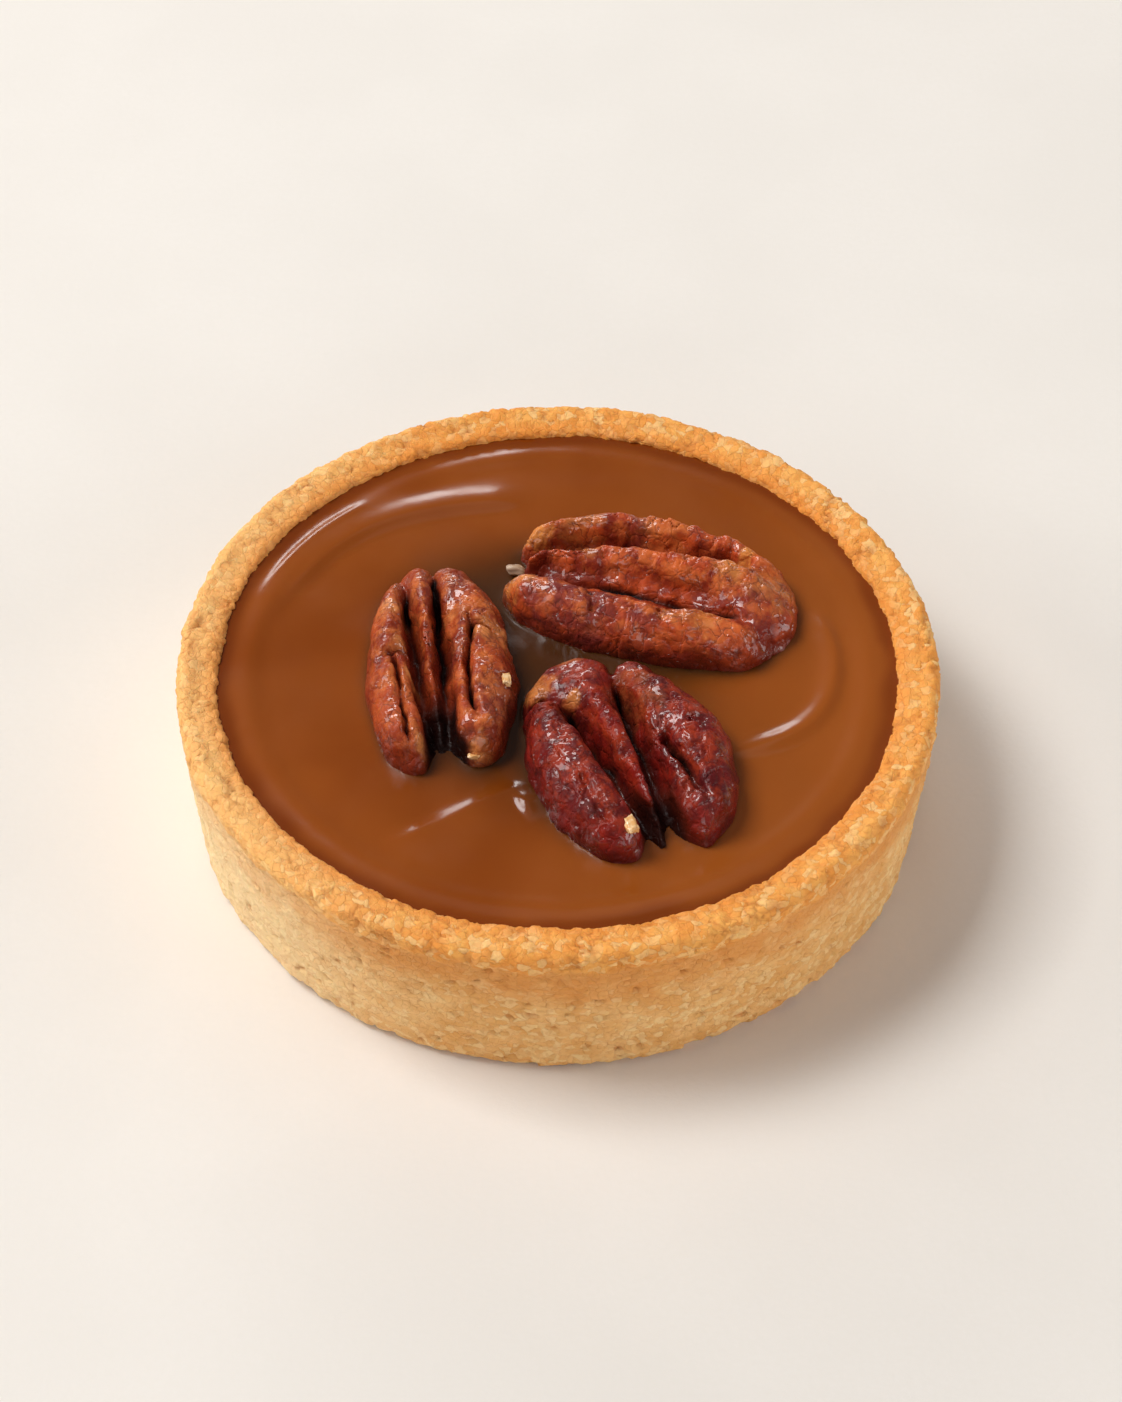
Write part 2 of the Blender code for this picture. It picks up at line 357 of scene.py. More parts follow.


# Nuts

# Each has its own frame: along from the open end to the closed one, across, and up from the caramel.
# centre, heading  where that frame lies in plan, and how far it is turned
# lobes            rows of (along, across, half-width, top)
# cap              the ball that closes the far end: (along, across) and its three radii
# core             the radii of the ball that joins the lobes in the middle
# hollow_shade     how much painted shade darkens the hollow at the open end
# carves           grooves: (path in plan, depth, width)
# golden, purple   patches of colour: (along, across, radius, strength)
NUTS = {
    "pecan_left": dict(
        centre=(-12.3, -0.9),
        heading=94.7,
        lobes=(
            (
                (-14.2, 3.0, 1.9, 3.6), (-12.0, 3.9, 2.4, 4.6), (-8.0, 4.6, 2.6, 5.2),
                (-4.0, 5.1, 2.7, 5.4), (0.0, 5.2, 2.7, 5.6), (4.0, 5.0, 2.3, 5.4),
                (8.0, 4.6, 1.5, 4.6), (11.0, 3.9, 0.8, 3.0),
            ),
            (
                (-11.0, 0.5, 0.4, 1.2), (-8.0, 0.7, 0.8, 2.4), (-4.0, 1.0, 1.1, 4.0),
                (0.0, 1.15, 1.3, 5.3), (4.0, 1.35, 1.4, 5.4), (8.0, 1.6, 1.6, 5.1),
                (13.4, 1.4, 1.6, 3.4),
            ),
            (
                (-13.9, -3.0, 1.9, 3.6), (-12.0, -3.3, 2.7, 4.6), (-8.0, -3.7, 3.4, 5.2),
                (-4.0, -4.1, 3.8, 5.5), (0.0, -3.95, 3.85, 5.6), (4.0, -3.65, 3.5, 5.5),
                (8.0, -3.2, 3.0, 5.0), (13.4, -1.6, 1.5, 3.2),
            ),
        ),
        cap=(8.6, 0.3, 4.9, 5.4, 4.5),
        core=(11.0, 6.2, 2.2),
        hollow_shade=0.58,
        carves=(
            (((-18.5, 0.9), (-15.5, 1.0), (-12.0, 1.3), (-8.0, 1.9), (-4.0, 2.2), (0.0, 2.4),
              (4.0, 2.7), (8.0, 3.2), (11.0, 3.6)), 2.0, 0.33),
            (((-18.5, 0.0), (-15.5, -0.1), (-8.0, -0.4), (-4.0, -0.3), (0.0, -0.1), (4.0, 0.0),
              (8.0, 0.0), (13.4, -0.1)), 2.0, 0.33),
            (((-1.0, 5.3), (-2.0, 4.8), (-4.6, 4.6), (-7.6, 4.2), (-11.5, 4.0), (-13.4, 3.6)), 0.8, 0.26),
            (((4.3, -3.5), (1.5, -3.2), (-1.5, -2.9), (-4.5, -2.7), (-8.5, -3.0), (-11.0, -3.7)), 0.9, 0.3),
            (((2.6, -3.2), (2.2, -4.2), (1.6, -5.6)), 0.7, 0.3),
            (((-1.6, 5.9), (-1.0, 5.1), (-0.7, 4.2), (-1.2, 3.4)), 0.6, 0.26),
        ),
        golden=(
            # The first golden patch, on the left lobe's crest, is a painted highlight; the others are the
            # skin's own patches
            (5.6, 4.6, 1.5, 0.6), (0.4, 4.3, 0.9, 0.6), (-3.8, 3.0, 0.7, 1.0),
            (-12.8, 2.4, 1.0, 0.7), (-13.4, -3.2, 1.3, 0.8), (4.6, -1.9, 1.1, 0.45),
            (1.4, -5.4, 2.0, 0.5),
        ),
        purple=(
            (-7.6, -5.4, 3.0, 0.9), (9.6, 2.0, 2.6, 0.6), (-1.0, -1.6, 1.8, 0.6),
            (9.0, -3.0, 2.2, 0.5),
        ),
        seed=100,
    ),
    "pecan_far": dict(
        centre=(10.3, 10.5),
        heading=-13.0,
        lobes=(
            (
                (-15.2, 2.4, 1.2, 3.4), (-13.0, 3.8, 1.7, 4.3), (-10.0, 5.1, 2.0, 4.9),
                (-6.0, 5.9, 2.1, 5.3), (-2.0, 6.1, 2.1, 5.4), (2.0, 6.0, 1.9, 5.3),
                (6.0, 5.4, 1.8, 5.1), (10.0, 4.2, 1.8, 4.6), (13.6, 2.4, 1.9, 3.6),
            ),
            (
                (-14.3, -0.5, 0.5, 2.8), (-12.0, 0.3, 0.8, 3.9), (-9.0, 0.6, 1.4, 5.0),
                (-5.0, 0.8, 1.9, 5.8), (0.0, 0.7, 2.1, 6.1), (5.0, 0.6, 2.4, 6.1),
                (9.0, 0.3, 2.9, 5.7), (15.2, -1.8, 2.8, 3.4),
            ),
            (
                (-15.7, -4.0, 2.0, 3.8), (-13.5, -4.8, 2.6, 4.8), (-10.0, -5.8, 2.9, 5.3),
                (-6.0, -6.6, 3.0, 5.5), (-2.0, -7.0, 3.0, 5.5), (2.0, -7.2, 2.9, 5.5),
                (6.0, -7.1, 2.8, 5.4), (9.5, -6.9, 2.5, 5.0), (13.0, -6.4, 1.9, 3.8),
            ),
            ((-6.0, -2.1, 0.4, 3.6), (0.5, -2.5, 0.5, 3.9), (4.0, -2.9, 0.6, 4.2), (9.0, -3.6, 0.5, 3.9)),
        ),
        cap=(10.6, -1.2, 4.9, 6.8, 4.6),
        core=(14.0, 8.0, 3.1),
        hollow_shade=0.12,
        carves=(
            (((-18.5, 0.6), (-15.0, 0.6), (-12.0, 1.4), (-10.0, 2.5), (-8.0, 3.1), (-6.0, 3.4),
              (-2.0, 3.3), (0.0, 3.4), (1.5, 4.0), (4.0, 3.7), (9.6, 3.3)), 2.2, 0.42),
            (((-18.5, -1.5), (-15.0, -1.5), (-12.0, -1.8), (-8.0, -2.0), (-2.0, -2.6), (2.0, -3.0),
              (5.0, -3.3), (8.0, -3.9), (10.0, -4.5), (11.6, -5.4), (13.0, -6.8)), 1.0, 0.5),
            (((-4.5, 4.2), (-3.2, 3.9), (-2.4, 4.6)), 0.9, 0.8),
            (((-7.5, 2.0), (-9.0, 2.6)), 0.5, 0.7),
            (((7.0, 3.0), (7.5, 5.5)), 0.35, 0.6),
            (((-6.0, -5.0), (-5.0, -8.0)), 0.4, 0.6),
            (((1.5, -5.0), (2.5, -8.5)), 0.4, 0.6),
        ),
        golden=(
            (-13.8, 3.7, 1.9, 1.0), (-14.4, -4.2, 2.0, 0.9), (3.4, -6.2, 1.9, 0.6),
            (6.8, -6.4, 2.3, 0.6), (8.2, 1.2, 2.3, 0.75), (9.2, 4.3, 0.9, 1.0),
            (-7.0, 1.0, 1.2, 0.4), (-9.5, 5.2, 2.6, 0.45), (0.0, 5.8, 2.4, 0.3),
            (12.4, 0.6, 3.0, 0.4),
        ),
        purple=(
            (-10.0, -6.0, 3.4, 0.9), (-5.8, -7.2, 3.2, 0.9), (0.4, -8.0, 2.0, 0.7),
            (12.2, -2.6, 2.8, 0.6), (-3.0, 6.0, 1.6, 0.7),
        ),
        seed=200,
    ),
    "pecan_front": dict(
        centre=(6.9, -13.5),
        heading=109.8,
        lobes=(
            (
                (-13.0, 4.2, 2.0, 3.6), (-11.0, 4.6, 2.8, 4.6), (-8.0, 5.3, 3.4, 5.4),
                (-4.0, 6.1, 3.8, 5.9), (0.0, 6.6, 3.6, 6.0), (3.0, 6.6, 3.1, 5.7),
                (6.0, 6.5, 2.2, 5.0), (9.0, 6.2, 1.3, 3.8),
            ),
            (
                (-12.3, 0.4, 0.4, 2.0), (-10.0, 0.5, 0.7, 3.2), (-7.0, 0.6, 1.1, 4.4),
                (-3.0, 0.8, 1.7, 5.4), (1.0, 1.0, 2.1, 5.9), (5.0, 1.4, 2.5, 6.0),
                (9.0, 1.6, 3.2, 5.5), (13.6, 1.0, 2.8, 3.8),
            ),
            (
                (-13.4, -3.8, 1.9, 3.6), (-11.0, -4.5, 3.0, 4.8), (-8.0, -5.3, 3.9, 5.7),
                (-4.0, -6.0, 4.5, 6.1), (0.0, -6.0, 4.5, 6.2), (4.0, -5.3, 3.9, 5.9),
                (7.0, -4.6, 3.1, 5.2), (11.0, -3.4, 1.7, 4.0),
            ),
        ),
        cap=(8.4, 2.0, 5.3, 6.0, 5.0),
        core=(10.5, 8.2, 2.3),
        hollow_shade=0.52,
        carves=(
            (((-18.0, 1.0), (-14.0, 1.0), (-12.0, 1.3), (-8.0, 1.7), (-4.0, 2.4), (0.0, 3.0),
              (4.0, 3.7), (6.0, 4.2), (7.2, 4.9), (8.2, 6.0)), 1.9, 0.36),
            (((-18.0, -0.9), (-14.0, -0.9), (-10.0, -0.9), (-6.0, -1.2), (-2.0, -1.2), (2.0, -1.3),
              (6.0, -1.3), (8.4, -1.6), (9.6, -2.2)), 2.1, 0.42),
            (((-0.4, -3.6), (-4.0, -3.9), (-6.0, -4.3), (-9.0, -4.4), (-11.0, -4.6)), 0.9, 0.45),
            (((-4.0, 6.7), (-7.0, 6.2), (-9.0, 5.9), (-11.0, 5.5)), 0.4, 0.4),
            (((7.6, 5.4), (8.4, 6.8), (8.2, 8.2)), 0.7, 0.35),
            (((9.0, -1.9), (10.6, -2.4), (12.4, -2.6)), 0.8, 0.28),
        ),
        golden=(
            (10.0, 5.8, 1.7, 1.0), (6.4, 3.4, 0.8, 0.9), (12.4, 1.8, 1.2, 0.7),
            (6.6, -3.0, 2.1, 0.22), (3.0, -3.4, 1.8, 0.2),
        ),
        purple=(
            (0.0, 7.0, 3.4, 0.6), (-6.0, 6.0, 3.4, 0.7), (-8.0, -6.5, 3.0, 0.8),
            (0.0, -7.5, 2.8, 0.7), (8.6, 2.0, 2.4, 0.7),
        ),
        seed=300,
    ),
}


def softly(at, stations, column):
    """A column of the stations read at the given places, with its corners rounded."""
    places = np.array([s[0] for s in stations])
    values = np.array([s[column] for s in stations])
    fine = np.linspace(places[0] - 4, places[-1] + 4, 400)
    line = np.interp(fine, places, values)
    reach = int(1.6 / (fine[1] - fine[0]))
    window = np.hanning(2 * reach + 1)
    padded = np.pad(line, reach, mode="edge")
    smooth = np.convolve(padded, window / window.sum(), mode="valid")
    return np.interp(at, fine, smooth)


def lobe_field(u, v, z, stations):
    """Roughly the distance in millimetres from a lobe, negative inside."""
    centre, half, top = (softly(u, stations, k) for k in (1, 2, 3))
    first, last = stations[0], stations[-1]
    cap_first, cap_last = 1.5 * first[2], 1.5 * last[2]
    over = np.maximum(0, (first[0] + cap_first - u) / cap_first)
    over += np.maximum(0, (u - last[0] + cap_last) / cap_last)
    tall = np.where(z > NUT_AXIS, top - NUT_AXIS, UNDER_AXIS)
    rho = np.sqrt(((v - centre) / half) ** 2 + ((z - NUT_AXIS) / tall) ** 2 + over**2)
    return (rho - 1) * np.minimum(half, 2.6)


def ball_field(u, v, z, centre, radii):
    """Roughly the distance in millimetres from a stretched ball, negative inside."""
    away = [(value - c) / r for value, c, r in zip((u, v, z), centre, radii, strict=True)]
    return (np.sqrt(sum(a * a for a in away)) - 1) * min(radii)


def joined(a, b, rounding):
    """Smooth union of two fields."""
    share = np.clip(0.5 + 0.5 * (b - a) / rounding, 0, 1)
    return b * (1 - share) + a * share - rounding * share * (1 - share)


def path_distance(x, y, path):
    """(distance, share of the path's length, side) for points by a path in plan; side is 1 to its left."""
    path = np.array(path, float)
    spans = np.diff(path, axis=0)
    lengths = np.linalg.norm(spans, axis=1)
    before = np.concatenate([[0], np.cumsum(lengths)])
    best = np.full(np.shape(x), 1e9)
    share = np.zeros(np.shape(x))
    side = np.ones(np.shape(x))
    for k, (start, span) in enumerate(zip(path, spans, strict=False)):
        t = np.clip(((x - start[0]) * span[0] + (y - start[1]) * span[1]) / lengths[k] ** 2, 0, 1)
        dx, dy = x - start[0] - t * span[0], y - start[1] - t * span[1]
        away = np.hypot(dx, dy)
        closer = away < best
        best = np.where(closer, away, best)
        share = np.where(closer, (before[k] + t * lengths[k]) / before[-1], share)
        side = np.where(closer, np.sign(span[0] * dy - span[1] * dx), side)
    return best, share, side


def rounded_path(path, times=3):
    """Corner cutting, so that a path of a few points becomes a smooth line."""
    path = np.array(path, float)
    for _ in range(times):
        cut = np.empty((2 * len(path) - 2, path.shape[1]))
        cut[0::2] = 0.75 * path[:-1] + 0.25 * path[1:]
        cut[1::2] = 0.25 * path[:-1] + 0.75 * path[1:]
        path = np.vstack([path[:1], cut, path[-1:]])
    return path


def nut_body(nut, u, v, z, rounding=LOBE_BLEND):
    """The lobes, the closed end and the core as one field, before wrinkles."""
    body = lobe_field(u, v, z, nut["lobes"][0])
    for stations in nut["lobes"][1:]:
        body = joined(body, lobe_field(u, v, z, stations), rounding)
    u0, v0, *radii = nut["cap"]
    body = joined(body, ball_field(u, v, z, (u0, v0, 0.0), radii), 1.2)
    return joined(body, ball_field(u, v, z, (0.0, 0.0, 0.0), nut["core"]), 0.8)


def carved(nut, u, v, z):
    """How deep the grooves cut below the lobes' skin: wide valleys with a sharp bottom."""
    total = np.zeros_like(u)
    for path, depth, width in nut["carves"]:
        path = rounded_path(path, 2)
        low, high = path.min(0) - 4 * width, path.max(0) + 4 * width
        by = np.nonzero((u > low[0]) & (u < high[0]) & (v > low[1]) & (v < high[1]) & (z > 0.3))[0]
        near = np.stack([u[by], v[by], z[by]], 1)
        wander_u = 0.3 * noise(near / 1.6, nut["seed"] + 80)
        wander_v = 0.3 * noise(near / 1.6, nut["seed"] + 81)
        away, share, _ = path_distance(u[by] + wander_u, v[by] + wander_v, path)
        fade = step_up(0.0, 0.12, share) * step_up(1.0, 0.8, share)
        valley = 0.35 * bell(away, 2.0 * width) + 0.65 * bell(away, 0.85 * width)
        uneven = 1 + 0.5 * noise(near / 3.1, nut["seed"] + 82)
        total[by] += depth * uneven * np.maximum(fade, 0.25) * valley * step_up(0.3, 2.0, z[by])
    return total


def warped(nut, p):
    """The points moved by a slow wander, so that no lobe or groove is quite regular."""
    return (p + 0.4 * wander(p / 4.5, nut["seed"], 10)).T


def nut_field(nut, p):
    """The whole nut at points (n, 3) in its own frame. Only points near its skin get the fine shape."""
    field = nut_body(nut, *p.T)
    near = (field > -2.5) & (field < 1.1)
    q = p[near]
    seed = nut["seed"]
    u, v, z = warped(nut, q)
    shape = nut_body(nut, u, v, z) + carved(nut, u, v, z)
    shape += 0.20 * layered(q / 2.4, 2, seed + 40)
    crease = np.abs(noise(q / (1.4, 3.0, 3.0), seed + 50))
    shape += 0.11 * step_up(0.08, 0.0, crease)
    fold = np.abs(noise(q / (3.0, 1.3, 1.6), seed + 60))
    shape += 0.06 * step_up(0.09, 0.0, fold)
    pebble, _, pebble_level = cells(q / 1.3 + 0.25 * noise(q / 0.9, seed + 71)[:, None], seed + 70)
    shape += 0.07 * (pebble - 0.5) - 0.02 * (pebble_level - 0.5)
    field[near] = shape
    return field


def surface_net(field_of, low, high, step):
    """A closed quad mesh of the surface where field_of(points) is zero, inside the box low to high."""
    axes = [np.arange(a, b + step, step) for a, b in zip(low, high, strict=True)]
    shape = tuple(len(a) for a in axes)
    grid = np.stack(np.meshgrid(*axes, indexing="ij"), -1).reshape(-1, 3)
    field = field_of(grid).reshape(shape)
    inside = field < 0
    cell_shape = tuple(n - 1 for n in shape)
    total = np.zeros(cell_shape + (3,))
    crossings = np.zeros(cell_shape)
    for axis in range(3):
        others = [k for k in range(3) if k != axis]
        lower = [slice(None)] * 3
        upper = [slice(None)] * 3
        lower[axis] = slice(0, -1)
        upper[axis] = slice(1, None)
        a, b = field[tuple(lower)], field[tuple(upper)]
        crossed = (a < 0) != (b < 0)
        share = np.where(crossed, a / np.where(crossed, a - b, 1), 0)
        for i in (0, 1):
            for j in (0, 1):
                part = [slice(None)] * 3
                part[others[0]] = slice(i, shape[others[0]] - 1 + i)
                part[others[1]] = slice(j, shape[others[1]] - 1 + j)
                part = tuple(part)
                hit = crossed[part]
                crossings += hit
                total[..., axis] += np.where(hit, share[part], 0)
                total[..., others[0]] += np.where(hit, i, 0)
                total[..., others[1]] += np.where(hit, j, 0)
    active = crossings > 0
    number = np.full(cell_shape, -1)
    number[active] = np.arange(active.sum())
    corner = np.stack(np.nonzero(active), 1)
    points = (corner + total[active] / crossings[active][:, None]) * step + np.array(low)
    faces = []
    for axis in range(3):
        others = [(axis + 1) % 3, (axis + 2) % 3]
        lower = [slice(1, -1)] * 3
        upper = [slice(1, -1)] * 3
        lower[axis] = slice(0, -1)
        upper[axis] = slice(1, None)
        a, b = inside[tuple(lower)], inside[tuple(upper)]
        for flip in (False, True):
            hit = np.nonzero((b & ~a) if flip else (a & ~b))
            at = np.stack(hit, 1)
            for k in others:
                at[:, k] += 1
            ring = []
            for i, j in ((0, 0), (1, 0), (1, 1), (0, 1)):
                shifted = at.copy()
                shifted[:, others[0]] -= 1 - i
                shifted[:, others[1]] -= 1 - j
                ring.append(number[tuple(shifted.T)])
            quad = np.stack(ring, 1)
            faces.append(quad[:, ::-1] if flip else quad)
    return points, np.vstack(faces)


def to_row(nut, p):
    """From a nut's own frame to the row frame."""
    angle = math.radians(nut["heading"])
    x, y = nut["centre"]
    return np.stack(
        [
            x + p[:, 0] * math.cos(angle) - p[:, 1] * math.sin(angle),
            y + p[:, 0] * math.sin(angle) + p[:, 1] * math.cos(angle),
            p[:, 2] + LEVEL,
        ],
        1,
    )


def to_nut(nut, p):
    """From the row frame to a nut's own frame."""
    angle = math.radians(nut["heading"])
    x, y = p[:, 0] - nut["centre"][0], p[:, 1] - nut["centre"][1]
    return np.stack(
        [
            x * math.cos(angle) + y * math.sin(angle),
            y * math.cos(angle) - x * math.sin(angle),
            p[:, 2] - LEVEL,
        ],
        1,
    )


def zone(nut, colour, points):
    """How strongly each point lies in the nut's patches of a colour, with ragged, faded edges."""
    ragged = 0.5 * layered(points / 1.3, 3, nut["seed"] + 90)
    inside = np.zeros(len(points))
    for u, v, radius, strength in nut[colour]:
        away = np.hypot(points[:, 0] - u, points[:, 1] - v) / radius
        inside = np.maximum(inside, strength * step_up(1.35, 0.45, away + ragged))
    return inside


def make_nut(name, material):
    """One pecan half, cut off flat below the caramel, with the attributes that colour its skin, paint light
    on its crests and paint shade on its flanks, grooves and open-end hollow.
    """
    nut = NUTS[name]
    reach_u = max(abs(s[0]) for lobe in nut["lobes"] for s in lobe) + 1.5
    reach_v = max(abs(s[1]) + s[2] for lobe in nut["lobes"] for s in lobe) + 1.2
    low = (-reach_u, -reach_v, -NUT_SINK - 0.5)
    high = (reach_u, reach_v, NUT_TOP)
    points, faces = surface_net(
        lambda p: np.maximum(nut_field(nut, p), -NUT_SINK - p[:, 2]), low, high, NUT_STEP
    )
    at = warped(nut, points)
    envelope = nut_body(nut, *at, rounding=LOBE_CORE)
    # groove: the grooves' own darker skin, deepened with painted shade in the valleys
    groove = 0.9 * (carved(nut, *at) - 0.42) + np.clip(-(envelope + 1.0) / 1.7, 0, 1)
    u, v, z = points.T
    # Painted shade in the hollow between the lobes at the open end
    hollow_shade = step_up(-3.0, -9.0, u) * step_up(3.0, 1.6, np.abs(v)) * step_up(4.8, 2.4, z)
    groove = np.maximum(groove, nut["hollow_shade"] * hollow_shade)
    # Painted shade low on the sides, near the caramel
    flank_shade = step_up(2.6, 0.2, z + 0.8 * layered(points / 2.0, 2, nut["seed"] + 95))
    attributes = {
        # crest: painted light on the high skin away from the grooves
        "crest": step_up(1.5, 6.0, z) * step_up(0.5, 0.0, groove),
        "flank_shade": flank_shade,
        "groove": np.clip(groove, 0, 1),
        "golden": zone(nut, "golden", points),
        "purple": zone(nut, "purple", points),
    }
    piece = mesh_piece(f"{name}_half", to_row(nut, points), faces.tolist(), material, attributes)
    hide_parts(name)


# Small pieces on the nuts: name, nut, place along and across, size, seed
CHIPS = (
    ("nut_chip", "pecan_front", (-11.1, 3.6), (1.05, 0.6, 0.42), 401),
    ("nut_crumb_tip", "pecan_left", (-13.2, -2.7), (0.35, 0.6, 0.25), 402),
    ("nut_crumb_side", "pecan_left", (-5.3, -6.6), (0.75, 0.45, 0.4), 403),
)


def unit_ball():
    """(points, faces) of a ball of radius 1."""
    ball = bmesh.new()
    bmesh.ops.create_icosphere(ball, subdivisions=4, radius=1.0)
    points = np.array([v.co for v in ball.verts])
    faces = [[v.index for v in f.verts] for f in ball.faces]
    ball.free()
    return points, faces


def make_chip(name, nut_name, place, size, seed, material):
    """A pale splinter of broken nut stuck to the skin."""
    nut = NUTS[nut_name]
    points, faces = unit_ball()
    blocky = np.sign(points) * np.abs(points) ** 0.6
    rough = 1 + 0.35 * layered(points * 1.3, 3, seed)
    points = blocky * rough[:, None] * size
    heights = np.linspace(0, 7.5, 400)
    column = np.array([(*place, height) for height in heights])
    outside = nut_field(nut, column) > 0
    points = points + (place[0], place[1], heights[outside].min() + 0.3 * size[2])
    piece = mesh_piece(name, to_row(nut, points), faces, material)


def make_bead(material):
    """A bead of clear syrup at the far nut's open end."""
    nut = NUTS["pecan_far"]
    points, faces = unit_ball()
    points = points * (1.1, 0.6, 0.6) * (1 + 0.3 * noise(points * 1.2, 411))[:, None]
    piece = mesh_piece("syrup_bead", to_row(nut, points + (-15.2, -0.2, 0.9)), faces, material)


# Caramel

# Spoon marks: path in plan, height, width to its left, width to its right
RIDGES = (
    (((14.8, -11.9), (17.6, -12.0), (20.8, -11.4), (24.7, -9.6), (27.4, -6.6), (28.9, -2.6),
      (29.2, 3.0), (27.2, 9.0)), 0.6, 1.5, 0.9),
    (((-18.2, -26.0), (-14.0, -23.35), (-10.0, -20.8), (-6.0, -18.2), (-2.0, -16.6)), 0.51, 1.35, 3.6),
    (((-4.2, -19.8), (-2.5, -18.8), (-0.7, -18.2)), 0.5, 1.35, 1.4),
    (((-31.0, 5.5), (-30.2, 9.4), (-27.2, 14.4), (-23.9, 18.7), (-19.8, 21.8), (-14.2, 24.0),
      (-8.7, 25.0), (-2.0, 25.3)), 0.62, 2.6, 1.1),
    (((-32.6, 9.0), (-30.0, 15.0), (-26.0, 20.6), (-20.5, 25.4)), 0.14, 0.5, 0.5),
)


def caramel_height(x, y):
    """Height of the set caramel above its level."""
    radius = np.hypot(x, y)
    flat = np.stack([x, y, np.zeros_like(x)], -1)
    rolled = 0.25 * (1 + 0.7 * noise(flat / 17.0, 66))
    height = rolled * bell(radius - 32.6, 1.35)
    height += 0.12 * step_up(34.6, 36.4, radius)
    for path, top, left, right in RIDGES:
        away, share, side = path_distance(x, y, rounded_path(path))
        fade = step_up(0.0, 0.3, share) * step_up(1.0, 0.85, share)
        width = np.where(side > 0, left, right)
        height += top * fade * bell(away, width)
    height += 0.07 * layered(flat / 9.0, 2, 61)
    height += 0.012 * layered(flat / 2.2, 2, 63)
    return height


def nut_distances(x, y):
    """Distance from each nut, at the caramel's level."""
    at = np.stack([x, y, np.full_like(x, LEVEL + 0.2)], -1)
    return [np.maximum(nut_body(nut, *to_nut(nut, at).T), 0) for nut in NUTS.values()]


def make_caramel(material):
    """The caramel as a disc with a worked top, whose attributes lighten it to the right and paint shade on
    it at the edge and by the nuts.
    """
    rings = int(CARAMEL_RADIUS / CARAMEL_STEP)
    radii = np.linspace(CARAMEL_RADIUS, CARAMEL_MIDDLE, rings)
    top = np.stack([radii, np.full(rings, LEVEL)], 1)
    under = [(CARAMEL_MIDDLE, CARAMEL_UNDERSIDE), (CARAMEL_RADIUS, CARAMEL_UNDERSIDE)]
    profile = np.vstack([under, top])
    points, _ = turned(profile, CARAMEL_AROUND)
    shown = points[:, 2] > LEVEL - 0.1
    x, y = points[shown, 0], points[shown, 1]
    away = nut_distances(x, y)
    rise = 0.18 * np.exp(-np.minimum.reduce(away) / 0.5)  # it climbs a little where it wets the nuts
    points[shown, 2] += caramel_height(x, y) + rise
    edge = np.zeros(len(points) + 2)
    # edge: painted shade of the rim on the caramel next to the crust
    edge[:-2][shown] = step_up(33.6, 35.4, np.hypot(x, y) + 0.8 * noise(points[shown] / 5.0, 65))
    bright = np.zeros(len(points) + 2)
    bright[:-2][shown] = step_up(0.0, 30.0, x - 0.4 * y)
    # Painted shade by the nuts, deepest in the gaps between them
    nut_shade = np.zeros(len(points) + 2)
    nut_shade[:-2][shown] = np.clip(sum(np.exp(-a / 2.2) for a in away), 0, 1.6)
    faces = ring_faces(len(profile), CARAMEL_AROUND)[:, ::-1]
    points, faces = closed_ends(points, faces, CARAMEL_AROUND)
    faces[-2 * CARAMEL_AROUND :] = [face[::-1] for face in faces[-2 * CARAMEL_AROUND :]]
    attributes = {"nut_shade": nut_shade, "edge": edge, "bright": bright}
    piece = mesh_piece("caramel_fill", points, faces, material, attributes)
    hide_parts("caramel")


# Materials

# What a pattern of cells can give: (Voronoi feature, output)
CELL_READINGS = {
    "level": ("F1", "Color"),
    "middle": ("F1", "Distance"),
    "edge": ("DISTANCE_TO_EDGE", "Distance"),
}


